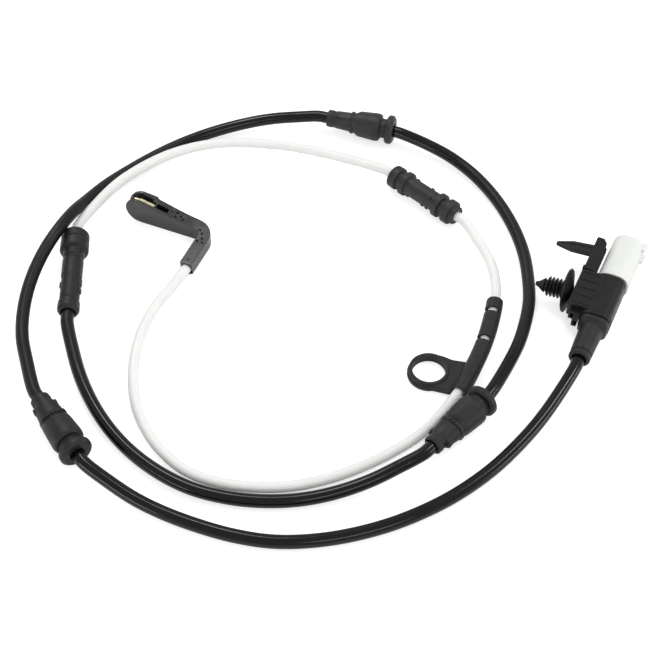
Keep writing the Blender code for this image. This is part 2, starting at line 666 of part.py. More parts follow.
def splice():
    """Rubber moulding over the joint of sleeve and cable; each lead ends in its own blind bore."""
    flange, body_r, collar = SPLICE_FLANGE_D / 2, SPLICE_BODY_D / 2, SPLICE_COLLAR_D / 2
    waist = SPLICE_WAIST_D / 2
    end, root = SPLICE_LENGTH, SPLICE_LENGTH - SPLICE_COLLAR_L
    near, far = bore_radius(SLEEVE_D), bore_radius(CABLE_D)
    outline = [
        (SPLICE_ENTRY + FIT, 0), (SPLICE_ENTRY + FIT, near), (0, near), (0, flange - 0.8),
        (0.9, flange - 0.1), (4.2, flange - 0.1), (4.4, flange - 0.5), (4.8, flange - 0.5),
        (5.0, flange), (9.2, flange),
        (9.9, body_r + 0.2), (12.8, body_r), (13.5, body_r - 0.5), (14.3, body_r - 0.5),
        (15.0, body_r), (23.6, body_r - 0.05), (24.2, body_r - 0.3), (root - 1.2, waist),
        (root - 0.4, waist - 0.35), (root + 0.4, collar), (end - 1.4, collar + 0.05),
        (end - 0.3, collar - 0.6), (end, collar - 0.9), (end, far),
        (end - SPLICE_ENTRY - FIT, far), (end - SPLICE_ENTRY - FIT, 0),
    ]
    body = turned("splice", outline, SIDES)
    for x, angle, length in SPLICE_KEYS:
        key = box("key", (x, x + length), (body_r - 1.2, body_r + 0.15), (-1.0, 1.0))
        join(body, moved(key, Matrix.Rotation(math.radians(angle), 4, "X")))
    x, angle, length = SPLICE_NOTCH
    notch = box("notch", (x, x + length), (body_r - 0.5, body_r + 2), (-1.2, 1.2))
    cut(body, moved(notch, Matrix.Rotation(math.radians(angle), 4, "X")))
    return finish(moved(body, splice_frame()), "splice", RUBBER, 0.75)


def grommet_frame(name):
    x, y, heading, roll = GROMMET_PLACES[name]
    return frame_at(x, y, GROMMET_FLANGE_D / 2, heading, roll)


def bracket_grommet(name):
    """Rubber grommet: collar, flat saddle with a cross rib, barrel, groove for a bracket, and flange."""
    flange, barrel = GROMMET_FLANGE_D / 2, GROMMET_BARREL_D / 2
    groove, collar = GROMMET_GROOVE_D / 2, GROMMET_COLLAR_D / 2
    end, neck = GROMMET_LENGTH, GROMMET_COLLAR_L
    face = end - GROMMET_FLANGE_T
    big = face - GROMMET_GROOVE_W
    wide, high = GROMMET_SADDLE
    stages = [
        (0, collar - 0.4, collar - 0.4), (0.4, collar, collar), (neck - 0.4, collar + 0.05, collar + 0.05),
        (neck, collar - 0.35, collar - 0.1), (neck + 1.0, collar - 0.35, collar - 0.1),
        (neck + 1.6, collar + 0.6, collar + 0.1), (GROMMET_RIB_X + 1.0, wide, high),
        (GROMMET_RIB_X + 3.0, wide + 0.3, barrel - 0.6), (big - 1.9, barrel, barrel),
        (big - 0.6, barrel - 0.2, barrel - 0.2), (big, barrel - 0.8, barrel - 0.8),
        (big + 0.1, groove, groove), (face, groove, groove),
        (face, flange - 0.8, flange - 0.8), (face + 0.7, flange, flange),
        (end - 0.9, flange, flange), (end, flange - 1.0, flange - 1.0),
    ]
    body = loft(name, [oval(x, half_w, half_h) for x, half_w, half_h in stages])
    top = high + GROMMET_RIB_RISE
    rib = loft("rib", [oval(GROMMET_RIB_X + x, wide, top, 0, 0, 2.4) for x in (-0.6, 0.5)])
    join(body, rib)
    gate = GROMMET_GATE / 2
    cut(body, box("gate", (GROMMET_RIB_X - gate, GROMMET_RIB_X + gate), (-gate, gate), (top - 0.8, top + 2)))
    join(body, box("post", (GROMMET_RIB_X - 0.5, GROMMET_RIB_X + 0.5), (-0.5, 0.5), (top - 1.2, top - 0.1)))
    for side in (-1, 1):
        place = Matrix.Translation((GROMMET_BOSS_X, 0, 0)) @ Matrix.Rotation(side * math.pi / 2, 4, "Z")
        join(body, moved(rod("boss", GROMMET_BOSS_D / 2, collar - 0.8, collar + 0.9, 12), place))
        cut(body, moved(rod("pit", GROMMET_BOSS_D / 4, collar + 0.4, collar + 2, 8), place))
    cut(body, rod("bore", bore_radius(CABLE_D), -1, end + 1))
    return finish(moved(body, grommet_frame(name)), name, RUBBER, 0.75)


def plug_frame():
    return frame_at(*PLUG_AT, PLUG_H / 2, PLUG_HEADING)


def boot():
    """Rubber boot: a ring at the cable's end, a taper, and a shoulder against the housing."""
    end_r, top_r = BOOT_END_D / 2, BOOT_TOP_D / 2
    half = PLUG_H / 2
    sections = [
        oval(0, end_r - 0.5, end_r - 0.5), oval(0.5, end_r, end_r), oval(2.0, end_r, end_r),
        oval(2.3, end_r - 0.45, end_r - 0.45), oval(2.8, end_r - 0.45, end_r - 0.45),
        oval(3.1, end_r + 0.05, end_r + 0.05), oval(BOOT_SHOULDER, top_r, top_r),
        oval(BOOT_SHOULDER + 1.2, half - 0.5, half - 0.9, 0, 0, SQUARENESS - 0.6),
        oval(BOOT_SHOULDER + 1.8, half - 0.4, half - 0.5, 0, 0, SQUARENESS),
        oval(BOOT_LENGTH, half - 0.4, half - 0.5, 0, 0, SQUARENESS),
    ]
    body = loft("boot", sections)
    cut(body, rod("bore", bore_radius(CABLE_D), -2, BOOT_ENTRY + FIT))
    return finish(moved(body, plug_frame()), "plug_boot", RUBBER, 0.7)


def housing():
    """Plug housing: a rounded barrel with a grip block on its left that carries the fasteners."""
    half, width = PLUG_H / 2, HOUSING_W / 2
    rear = BOOT_LENGTH + FIT
    front = rear + HOUSING_LENGTH
    body = loft("housing", [
        oval(rear, width - 0.3, half - 0.3, 0, 0, SQUARENESS),
        oval(rear + 0.5, width, half, 0, 0, SQUARENESS),
        oval(front - 0.6, width, half, 0, 0, SQUARENESS),
        oval(front, width - 0.5, half - 0.5, 0, 0, SQUARENESS),
    ])
    low = BLOCK_BOTTOM - half
    block_end = front - 1.6
    block = prism("block", filleted([
        (rear + 1.4, 2.0, 0), (block_end, 2.0, 0), (block_end, BLOCK_SIDE, 0.6),
        (rear + 1.4, BLOCK_SIDE, 0.8),
    ]), low, half)
    join(body, block)
    for x in (rear + 0.9, front - 2.3):
        cut(body, box("slot", (x, x + SIDE_SLOT_W), (-width - 2, -width + 0.6), (-4.4, 3.8)))
    for k in range(RIB_COUNT):
        x = rear + 2.6 + RIB_PITCH * k
        rib = box("rib", (x, x + RIB_W), (3.4, BLOCK_SIDE - 1.0), (half - 0.6, half + RIB_RISE - 0.35))
        join(body, moved(rib, Matrix.Translation((0, 0, RIB_RISE))))
    feet(body, rear, low)
    y0, z0 = tongue_centre()
    channel = box("channel", (block_end - TONGUE_L - FIT, block_end + 3),
                  (y0 - TONGUE_W / 2 - FIT, y0 + TONGUE_W / 2 + FIT),
                  (z0 - TONGUE_H / 2 - FIT, z0 + TONGUE_H / 2 + FIT))
    cut(body, channel)
    cut(body, moved(rod("socket", TREE_STEM_D / 2 + FIT, -TREE_SOCKET - FIT, 6), tree_frame()))
    well = rod("well", STEM_D / 2 + FIT, front - INSERT_ROOT - FIT, front + 2, SIDES)
    cut(body, moved(well, Matrix.Translation((0, -INSERT_SHIFT, 0))))
    return finish(moved(body, plug_frame()), "plug_housing", PLASTIC, 0.5)


def feet(body, rear, low):
    """Two open lugs behind the grip block, where its fastener rail leaves it."""
    for x0, x1, inset in ((-0.6, 2.2, 1.4), (-3.8, 0.4, 3.6)):
        x0, x1, side = rear + x0, rear + x1, BLOCK_SIDE - inset
        frame = box("lug", (x0, x1), (HOUSING_W / 2 - 1.6, side), (low + 0.4, low + 4.2))
        cut(frame, box("eye", (x0 - 2, x1 - 0.8), (HOUSING_W / 2 - 2.6, side - 0.8), (low + 1.2, low + 3.4)))
        cut(frame, loft("clear", [oval(x, HOUSING_W / 2 + 0.1, PLUG_H / 2 + 0.1, 0, 0, SQUARENESS)
                                  for x in (rear - 9, rear + 0.2)]))
        join(body, frame)


def tongue_centre():
    """Where the bracket's tongue runs in the block: across and up from the plug's axis."""
    return BAR_SIDE - BAR_W / 2, PLUG_H / 2 - BAR_H / 2


def tree_frame():
    """The fir tree's own frame, its X axis pointing out of the block and a little down."""
    turn = Matrix.Rotation(math.pi / 2, 4, "Z") @ Matrix.Rotation(math.radians(PIN_TILT), 4, "Y")
    return Matrix.Translation((BOOT_LENGTH + FIT + TREE_X, BLOCK_SIDE, TREE_Z - PLUG_H / 2)) @ turn


def fir_tree():
    """Push-in fastener: stem in the block, umbrella, ribbed shank and a pointed nose."""
    rim, fin, stem, core = UMBRELLA_D / 2, TREE_FIN_D / 2, TREE_STEM_D / 2, TREE_CORE_D / 2
    outline = [
        (-TREE_SOCKET, 0), (-TREE_SOCKET, stem), (0.3, stem), (0.8, 3.2), (2.2, rim - 0.15), (2.8, rim),
        (3.0, rim - 0.5), (1.5, 3.2), (1.5, core),
    ]
    x = TREE_FIRST
    for _ in range(TREE_FINS):
        outline += [(x, core), (x + 0.15, fin), (x + 0.5, fin - 0.1), (x + 0.9, core)]
        x += TREE_PITCH
    outline += [(x, core), (x + 0.4, 3.0), (x + 2.8, 1.2), (x + 4.0, 0.8), (x + 4.0, 0)]
    tree = turned("tree", outline, SMALL_SIDES)
    return finish(moved(tree, plug_frame() @ tree_frame()), "fir_tree", PLASTIC, 0.5)


def bracket():
    """Bar that slides into the block, with a tapered dart standing out of its side."""
    start = BOOT_LENGTH + FIT + HOUSING_LENGTH - 1.6 + FIT
    y0, z0 = tongue_centre()
    end = start + BAR_LENGTH
    low, top = z0 - BAR_H / 2, z0 + BAR_H / 2
    right = BAR_SIDE - BAR_W
    body = prism("bar", filleted([
        (start, right, 0), (end - 2.2, right, 0.4), (end, right + 1.6, 0.5), (end, BAR_SIDE, 0.6),
        (start, BAR_SIDE, 0),
    ]), low, top)
    join(body, box("tongue", (start - TONGUE_L, start + 1), (y0 - TONGUE_W / 2, y0 + TONGUE_W / 2),
                   (z0 - TONGUE_H / 2, z0 + TONGUE_H / 2)))
    join(body, box("ledge", (start, end - 3.4), (right - LEDGE_W, right + 1.0),
                   (low + LEDGE_Z[0], low + LEDGE_Z[1])))
    join(body, box("step", (start, start + 1.6), (right + 0.6, BAR_SIDE + 0.5), (low + 0.3, top + 0.2)))
    half_w, half_t = DART_W / 2, DART_T / 2
    dart = loft("dart", [
        [(x, s * w, h * t) for s, h in DART_SECTION]
        for x, w, t in ((-1.5, half_w, half_t), (DART_L * 0.55, half_w * 0.95, half_t * 0.85),
                        (DART_L * 0.95, half_w * 0.45, half_t * 0.4), (DART_L, half_w * 0.3, half_t * 0.28))
    ])
    turn = Matrix.Rotation(math.pi / 2, 4, "Z") @ Matrix.Rotation(math.radians(PIN_TILT), 4, "Y")
    join(body, moved(dart, Matrix.Translation((start + DART_X, BAR_SIDE, z0 + 0.1)) @ turn))
    return finish(moved(body, plug_frame()), "clip_bracket", PLASTIC, 0.5)


def terminal_places():
    return [(-INSERT_SHIFT + s * TERMINAL_PITCH / 2) for s in (-1, 1)]


def insert():
    """Pale insert: an oval nose with two contact openings and a stem that seats in the housing."""
    half, width = PLUG_H / 2 - 0.2, INSERT_W / 2
    start = BOOT_LENGTH + FIT + HOUSING_LENGTH + FIT
    end = start + INSERT_LENGTH
    y = -INSERT_SHIFT
    body = loft("insert", [
        oval(start, width, half, y, 0, 2.6), oval(end - 1.2, width - 0.2, half - 0.1, y, 0, 2.6),
        oval(end, width - 1.0, half - 0.9, y, 0, 2.6),
    ])
    stem = rod("stem", STEM_D / 2, start - FIT - INSERT_ROOT, start + 1, SIDES)
    join(body, moved(stem, Matrix.Translation((0, y, 0))))
    edge = y - width
    for z in TOOTH_Z:
        corners = [(end - 4.2, edge + 1.6), (end - 4.2, edge - 0.5), (end - 0.2, edge - TOOTH_RISE),
                   (end + 0.2, edge + 1.6)]
        join(body, prism("tooth", corners, z - TOOTH_T / 2, z + TOOTH_T / 2))
    for place in terminal_places():
        slot = box("slot", (end - TERMINAL_L - TERMINAL_RECESS - FIT, end + 2),
                   (place - TERMINAL_W / 2 - FIT, place + TERMINAL_W / 2 + FIT),
                   (-TERMINAL_H / 2 - FIT, TERMINAL_H / 2 + FIT))
        cut(body, slot)
    return finish(moved(body, plug_frame()), "plug_insert", NYLON, 0.45)


def terminals():
    """Two flat contacts, one in each opening of the insert."""
    end = BOOT_LENGTH + 2 * FIT + HOUSING_LENGTH + INSERT_LENGTH - TERMINAL_RECESS
    for name, place in zip(("terminal_right", "terminal_left"), terminal_places()):
        blade = box("blade", (end - TERMINAL_L, end), (place - TERMINAL_W / 2, place + TERMINAL_W / 2),
                    (-TERMINAL_H / 2, TERMINAL_H / 2))
        finish(moved(blade, plug_frame()), name, BRASS, 0.3, 1.0)


def sleeve_route():
    head = head_frame()
    inside = along(head, HEAD_LEG_X, LEG_END + SLEEVE_ENTRY, HEAD_LEAD_Z)
    mouth = along(head, HEAD_LEG_X, LEG_END, HEAD_LEAD_Z)
    clear = along(head, HEAD_LEG_X, LEG_END - 3.0, HEAD_LEAD_Z)
    start = (inside, along(head, HEAD_LEG_X, LEG_END + SLEEVE_ENTRY / 2, HEAD_LEAD_Z), mouth, clear)
    double = through(double_frame(), DOUBLE_LENGTH, 0)
    joint = splice_frame()
    end = (along(joint, -4.0), along(joint, 0), along(joint, SPLICE_ENTRY / 2), along(joint, SPLICE_ENTRY))
    return start + HEAD_TO_CLIP + CLIP_ROUTE + CLIP_TO_DOUBLE + double + DOUBLE_TO_SPLICE + end


def cable_route():
    joint, plug = splice_frame(), plug_frame()
    start = tuple(along(joint, SPLICE_LENGTH + x) for x in (-SPLICE_ENTRY, -SPLICE_ENTRY / 2, 0, 4.0))
    near = through(grommet_frame("grommet_near"), 0, GROMMET_LENGTH)
    far = through(grommet_frame("grommet_far"), GROMMET_LENGTH, 0)
    left = through(grommet_frame("grommet_left"), 0, GROMMET_LENGTH)
    end = tuple(along(plug, x) for x in (-4.0, 0, BOOT_ENTRY / 2, BOOT_ENTRY))
    return start + SPLICE_TO_NEAR + near + NEAR_TO_FAR + far + FAR_TO_LEFT + left + LEFT_TO_PLUG + end


CLIP_TO_DOUBLE_FULL = HEAD_TO_CLIP[-2:] + CLIP_ROUTE + CLIP_TO_DOUBLE[:2]


def centre_on_origin():
    """Moves everything so that the rigid pieces are centred over the origin."""
    meshes = [obj for obj in bpy.data.objects if obj.type == "MESH"]
    corners = [obj.matrix_world @ v.co for obj in meshes for v in obj.data.vertices]
    middle = [(min(c[k] for c in corners) + max(c[k] for c in corners)) / 2 for k in (0, 1)]
    shift = Matrix.Translation((-middle[0], -middle[1], 0))
    for obj in bpy.data.objects:
        obj.data.transform(shift)


def main():
    for obj in list(bpy.data.objects):
        bpy.data.objects.remove(obj)
    sensor_head()
    spring_strip()
    ring_clip()
    double_grommet()
    splice()
    for name in GROMMET_PLACES:
        bracket_grommet(name)
    boot()
    housing()
    insert()
    terminals()
    bracket()
    fir_tree()
    lead_tube("white_sleeve", sleeve_route(), SLEEVE_D, WHITE, 0.4)
    lead_tube("black_cable", cable_route(), CABLE_D, RUBBER, 0.25)
    centre_on_origin()


main()
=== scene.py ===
"""Looks of the brake pad wear sensor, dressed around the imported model.

Lengths are in metres and angles in degrees. The camera's lens and sensor are in millimetres.
"""

import math

import bmesh
import bpy
from mathutils import Matrix, Vector
from mathutils.bvhtree import BVHTree


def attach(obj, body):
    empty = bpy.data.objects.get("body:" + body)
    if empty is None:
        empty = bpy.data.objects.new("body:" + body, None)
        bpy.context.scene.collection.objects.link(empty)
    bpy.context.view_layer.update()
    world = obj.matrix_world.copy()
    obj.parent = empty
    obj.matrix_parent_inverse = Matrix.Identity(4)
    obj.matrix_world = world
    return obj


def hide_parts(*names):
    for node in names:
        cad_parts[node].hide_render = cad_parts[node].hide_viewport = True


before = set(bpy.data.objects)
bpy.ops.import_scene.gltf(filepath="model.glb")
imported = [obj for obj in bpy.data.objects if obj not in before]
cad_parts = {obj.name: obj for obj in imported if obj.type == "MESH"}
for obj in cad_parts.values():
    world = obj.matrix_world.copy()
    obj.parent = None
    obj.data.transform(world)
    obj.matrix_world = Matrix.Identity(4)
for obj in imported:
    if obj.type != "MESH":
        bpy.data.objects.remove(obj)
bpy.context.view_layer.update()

# Leads: diameters, and the spacing of points along each route
SLEEVE_D = 0.0041
CABLE_D = 0.0050
ROUTE_STEP = 0.0012
ROUND_STEPS = 7              # how finely a lead's section is rounded

# Camera of the photograph: its target on the floor, height angle, distance, lens and sensor
LOOK_AT = (-0.00892, -0.02669, 0.0)
CAMERA_ELEVATION = 50.0
CAMERA_DISTANCE = 0.5308
CAMERA_LENS = 75.28
CAMERA_SENSOR = 36.0

# Light: even surroundings, a white floor, and narrow lamps that give the cable its bright lines
WORLD = 0.64
FLOOR_COLOUR = (0.78, 0.78, 0.78, 1)
FLOOR_GLOW = 0.62            # what the floor adds for the camera
FLOOR_MIRRORED = 0.35        # what it adds in reflections
FLOOR_REACH = 3.0
FLOOR_DROP = 0.0002          # gap under the object
LAMPS = (                    # name, place, width and height, power
    ("key", (-0.30, 0.55, 0.70), (0.10, 0.60), 1.3),
    ("crown", (-0.15, 0.47, 0.86), (0.10, 0.30), 1.0),
    ("second", (0.54, 0.13, 0.76), (0.09, 0.40), 1.8),
    ("front", (0.30, -0.75, 0.60), (0.50, 0.10), 1.2),
    ("low", (-0.56, -0.41, 0.13), (0.34, 0.10), 0.8),
    ("side", (0.62, -0.16, 0.11), (0.34, 0.08), 0.7),
)

# Surfaces
CLOUD_RANGE = (0.3, 0.7)     # the part of the noise that is used
PATCH_SHARE = 0.45           # the gloss varies in larger patches than the colour
BUMP_HEIGHT = 0.0001
SUBSURFACE_RADIUS = (1.0, 0.95, 0.85)
SUBSURFACE_SCALE = 0.003
WORN_WAY, WORN_LINE = (-1.0, 0.2, 0.0), (0.082, 0.100)             # dull past a line on the left
WORN_AT, WORN_EDGE = (0.060, 0.010, 0.003), (0.045, 0.056)         # dull round a place on the right

# Finer copies: width of the eased edges, and which edges are eased
RUBBER_EASE = 0.00020
PLASTIC_EASE = 0.00016
HEAD_EASE = 0.00018
NYLON_EASE = 0.00020
EASED_ANGLE = 28.0
EASED_LENGTH = 1.6           # least length of an eased edge, in widths
SHARP_ANGLE = 50.0           # edges past this stay sharp in the shading
FLAT_ANGLE = 1.0             # faces that meet within this become one
SAME_POINT, SAME_CORNER = 3e-6, 2e-6

# Sensor head: its own frame, and how the finer copy differs from the solid
HEAD_AT, HEAD_HEADING = (-0.09212, 0.03321), -22.8
SLOPE = (0.0055, 0.028)      # where the blade's top starts and ends its slope
BLEND = (0.020, 0.034)       # where that top eases into the leg's
BLEND_CUTS = 8
LEG_X, LEG_TOP, LEG_UNDERSIDE = 0.0364, 0.0068, 0.0015
LEG_FROM_X, LEG_FROM_Y = 0.0339, -0.0025           # the leg lies past either of these
MOUTH_FROM_Y, MOUTH_R = -0.008, 0.00245            # the sleeve's mouth in the leg's end
LEAD_Z, LEAD_RISE = 0.0032, 0.0009                 # its height in the solid, and how far it moves up
ON_LINE, ON_FLOOR, ON_CUT = 2e-5, 1e-5, 1e-6       # how near a corner counts as on them

# Routes along the middle of each lead
SLEEVE_ROUTE = (
    (-0.0620, 0.0110, 0.0041), (-0.0639, 0.0064, 0.0041), (-0.0658, 0.0018, 0.0041),
    (-0.0671, -0.0009, 0.0039), (-0.0704, -0.0060, 0.0029), (-0.0765, -0.0162, 0.0022),
    (-0.0805, -0.0278, 0.0021), (-0.0823, -0.0397, 0.0021), (-0.0821, -0.0517, 0.0021),
    (-0.0795, -0.0655, 0.0021), (-0.0742, -0.0771, 0.0021), (-0.0676, -0.0861, 0.0021),
    (-0.0595, -0.0933, 0.0021), (-0.0495, -0.0977, 0.0021), (-0.0375, -0.0999, 0.0021),
    (-0.0229, -0.0997, 0.0021), (-0.0089, -0.0962, 0.0021), (0.0037, -0.0907, 0.0021),
    (0.0151, -0.0839, 0.0021), (0.0251, -0.0759, 0.0021), (0.0327, -0.0671, 0.0024),
    (0.0380, -0.0599, 0.0032), (0.0413, -0.0545, 0.0032), (0.0444, -0.0479, 0.0032),
    (0.0478, -0.0401, 0.0032), (0.0508, -0.0319, 0.0032), (0.0533, -0.0231, 0.0032),
    (0.0552, -0.0147, 0.0032), (0.0560, -0.0081, 0.0032), (0.0558, 0.0003, 0.0035),
    (0.0538, 0.0087, 0.0040), (0.0501, 0.0175, 0.0047), (0.0457, 0.0267, 0.0052),
    (0.0428, 0.0295, 0.0052), (0.0303, 0.0416, 0.0052), (0.0177, 0.0537, 0.0052),
    (0.0148, 0.0565, 0.0052), (0.0071, 0.0603, 0.0051), (-0.0051, 0.0652, 0.0050),
    (-0.0175, 0.0693, 0.0050), (-0.0303, 0.0722, 0.0051), (-0.0432, 0.0735, 0.0053),
    (-0.0543, 0.0731, 0.0056), (-0.0653, 0.0707, 0.0058), (-0.0763, 0.0656, 0.0062),
    (-0.0866, 0.0578, 0.0067), (-0.0963, 0.0477, 0.0070), (-0.1037, 0.0365, 0.0069),
    (-0.1114, 0.0225, 0.0057), (-0.1112, 0.0185, 0.0057), (-0.1109, 0.0115, 0.0057),
    (-0.1106, 0.0045, 0.0057),
)
CABLE_ROUTE = (
    (-0.1100, -0.0091, 0.0057), (-0.1097, -0.0161, 0.0057), (-0.1093, -0.0230, 0.0057),
    (-0.1092, -0.0270, 0.0057), (-0.1055, -0.0405, 0.0046), (-0.1014, -0.0523, 0.0036),
    (-0.0954, -0.0647, 0.0030), (-0.0881, -0.0759, 0.0027), (-0.0793, -0.0859, 0.0026),
    (-0.0685, -0.0947, 0.0026), (-0.0569, -0.1011, 0.0026), (-0.0437, -0.1049, 0.0026),
    (-0.0314, -0.1062, 0.0026), (-0.0193, -0.1057, 0.0028), (-0.0072, -0.1033, 0.0034),
    (0.0049, -0.0991, 0.0045), (0.0155, -0.0936, 0.0054), (0.0243, -0.0885, 0.0062),
    (0.0271, -0.0856, 0.0062), (0.0373, -0.0749, 0.0062), (0.0476, -0.0643, 0.0062),
    (0.0501, -0.0610, 0.0062), (0.0516, -0.0586, 0.0061), (0.0575, -0.0476, 0.0055),
    (0.0623, -0.0371, 0.0048), (0.0662, -0.0248, 0.0036), (0.0685, -0.0140, 0.0030),
    (0.0692, -0.0032, 0.0027), (0.0688, 0.0103, 0.0026), (0.0666, 0.0230, 0.0026),
    (0.0624, 0.0364, 0.0026), (0.0567, 0.0485, 0.0027), (0.0499, 0.0584, 0.0032),
    (0.0416, 0.0665, 0.0042), (0.0325, 0.0728, 0.0051), (0.0225, 0.0780, 0.0062),
    (0.0187, 0.0798, 0.0062), (0.0044, 0.0845, 0.0062), (-0.0098, 0.0885, 0.0062),
    (-0.0137, 0.0896, 0.0062), (-0.0220, 0.0897, 0.0058), (-0.0350, 0.0888, 0.0053),
    (-0.0480, 0.0864, 0.0042), (-0.0609, 0.0819, 0.0034), (-0.0694, 0.0777, 0.0030),
    (-0.0781, 0.0722, 0.0028), (-0.0865, 0.0654, 0.0029), (-0.0945, 0.0577, 0.0033),
    (-0.1019, 0.0492, 0.0042), (-0.1082, 0.0383, 0.0064), (-0.1128, 0.0268, 0.0102),
    (-0.1171, 0.0150, 0.0120), (-0.1211, 0.0049, 0.0112), (-0.1246, -0.0081, 0.0095),
    (-0.1259, -0.0213, 0.0081), (-0.1249, -0.0352, 0.0071), (-0.1215, -0.0476, 0.0064),
    (-0.1168, -0.0613, 0.0062), (-0.1145, -0.0646, 0.0062), (-0.1062, -0.0768, 0.0062),
    (-0.0978, -0.0890, 0.0062), (-0.0955, -0.0923, 0.0062), (-0.0864, -0.0993, 0.0049),
    (-0.0763, -0.1061, 0.0038), (-0.0654, -0.1116, 0.0030), (-0.0530, -0.1165, 0.0026),
    (-0.0411, -0.1202, 0.0026), (-0.0292, -0.1223, 0.0026), (-0.0174, -0.1223, 0.0026),
    (-0.0039, -0.1203, 0.0026), (0.0099, -0.1163, 0.0026), (0.0221, -0.1110, 0.0026),
    (0.0347, -0.1037, 0.0027), (0.0483, -0.0931, 0.0030), (0.0610, -0.0800, 0.0038),
    (0.0700, -0.0686, 0.0048), (0.0819, -0.0499, 0.0062), (0.0835, -0.0462, 0.0062),
    (0.0860, -0.0408, 0.0062), (0.0885, -0.0353, 0.0062),
)


def link(obj):
    bpy.context.scene.collection.objects.link(obj)
    return obj


def wire(tree, source, output, target, socket):
    tree.links.new(source.outputs[output], target.inputs[socket])


def noise(tree, place, scale, detail):
    """Clouds fixed to the object."""
    node = tree.nodes.new("ShaderNodeTexNoise")
    node.inputs["Scale"].default_value = scale
    node.inputs["Detail"].default_value = detail
    wire(tree, place, "Object", node, "Vector")
    return node


def ranged(tree, source, output, start, end, low, high):
    """Maps an output from start..end to low..high."""
    node = tree.nodes.new("ShaderNodeMapRange")
    for socket, value in (("From Min", start), ("From Max", end), ("To Min", low), ("To Max", high)):
        node.inputs[socket].default_value = value
    wire(tree, source, output, node, "Value")
    return node


def worn(tree, place, gloss, extra):
    """Adds roughness where the jacket is worn dull: at the far left and round a place on the right."""
    along = tree.nodes.new("ShaderNodeVectorMath")
    along.operation = "DOT_PRODUCT"
    along.inputs[1].default_value = WORN_WAY
    away = tree.nodes.new("ShaderNodeVectorMath")
    away.operation = "DISTANCE"
    away.inputs[1].default_value = WORN_AT
    total = gloss
    for source, edge, low, high in ((along, WORN_LINE, 0.0, extra), (away, WORN_EDGE, extra, 0.0)):
        wire(tree, place, "Object", source, 0)
        amount = ranged(tree, source, "Value", *edge, low, high)
        add = tree.nodes.new("ShaderNodeMath")
        wire(tree, total, 0, add, 0)
        wire(tree, amount, 0, add, 1)
        total = add
    return total


def material(name, colour, roughness, spread, grain, bump, uneven=0.08, metallic=0.0, subsurface=0.0,
             ior=1.5, dull=0.0):
    """Surface with clouds of colour, uneven gloss and a fine bump.

    The colour varies by the share spread in clouds of the scale grain, bump is the relief's scale and
    strength, and dull is the roughness added where the surface is worn.
    """
    mat = bpy.data.materials.new(name)
    mat.use_nodes = True
    tree = mat.node_tree
    shader = tree.nodes["Principled BSDF"]
    for socket, value in (("Metallic", metallic), ("IOR", ior), ("Subsurface Weight", subsurface),
                          ("Subsurface Radius", SUBSURFACE_RADIUS),
                          ("Subsurface Scale", SUBSURFACE_SCALE)):
        shader.inputs[socket].default_value = value
    place = tree.nodes.new("ShaderNodeTexCoord")
    clouds = noise(tree, place, grain, 4.0)
    tint = ranged(tree, clouds, "Fac", *CLOUD_RANGE, 1 - spread, 1 + spread)
    shade = tree.nodes.new("ShaderNodeVectorMath")
    shade.operation = "SCALE"
    shade.inputs[0].default_value = colour
    wire(tree, tint, "Result", shade, "Scale")
    wire(tree, shade, "Vector", shader, "Base Color")
    patches = noise(tree, place, grain * PATCH_SHARE, 3.0)
    gloss = ranged(tree, patches, "Fac", *CLOUD_RANGE, roughness - uneven, roughness + uneven)
    if dull:
        gloss = worn(tree, place, gloss, dull)
    wire(tree, gloss, 0, shader, "Roughness")
    fine = noise(tree, place, bump[0], 3.0)
    relief = tree.nodes.new("ShaderNodeBump")
    relief.inputs["Strength"].default_value = bump[1]
    relief.inputs["Distance"].default_value = BUMP_HEIGHT
    wire(tree, fine, "Fac", relief, "Height")
    wire(tree, relief, "Normal", shader, "Normal")
    return mat


def spline_points(route, spacing):
    """Centripetal Catmull-Rom curve through the route."""
    pts = [Vector(p) for p in route]
    pts = [2 * pts[0] - pts[1]] + pts + [2 * pts[-1] - pts[-2]]
    out = []
    for p0, p1, p2, p3 in zip(pts, pts[1:], pts[2:], pts[3:]):
        t1 = math.sqrt((p1 - p0).length)
        t2 = t1 + math.sqrt((p2 - p1).length)
        t3 = t2 + math.sqrt((p3 - p2).length)
        steps = max(1, math.ceil((p2 - p1).length / spacing))
        for k in range(steps):
            t = t1 + (t2 - t1) * k / steps
            a1, a2 = p0.lerp(p1, t / t1), p1.lerp(p2, (t - t1) / (t2 - t1))
            a3 = p2.lerp(p3, (t - t2) / (t3 - t2))
            b1, b2 = a1.lerp(a2, t / t2), a2.lerp(a3, (t - t1) / (t3 - t1))
            out.append(b1.lerp(b2, (t - t1) / (t2 - t1)))
    return out + [pts[-2]]


def lead(name, node, route, diameter, mat):
    """A lead as one smooth curve through its route."""
    data = bpy.data.curves.new(name, "CURVE")
    data.dimensions = "3D"
    data.bevel_depth = diameter / 2
    data.bevel_resolution = ROUND_STEPS
    data.use_fill_caps = True
    points = spline_points(route, ROUTE_STEP)
    spline = data.splines.new("POLY")
    spline.points.add(len(points) - 1)
    spline.points.foreach_set("co", [c for p in points for c in (*p, 1.0)])
    spline.use_smooth = True
    piece = link(bpy.data.objects.new(name, data))
    data.materials.append(mat)
    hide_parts(node)
    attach(piece, "root")


def ease_edges(bm, width):
    """Rounds the longer sharp edges, and puts corners that end up off the surface back on it."""
    edges = [e for e in bm.edges if e.is_manifold and e.calc_face_angle(0.0) > math.radians(EASED_ANGLE)
             and e.calc_length() > EASED_LENGTH * width]
    surface = BVHTree.FromBMesh(bm)
    bmesh.ops.bevel(bm, geom=edges, offset=width, offset_type="OFFSET", segments=2, profile=0.6,
                    affect="EDGES", clamp_overlap=False)
    for vert in bm.verts:
        spot, _, _, gap = surface.find_nearest(vert.co)
        if gap > width:
            vert.co = spot


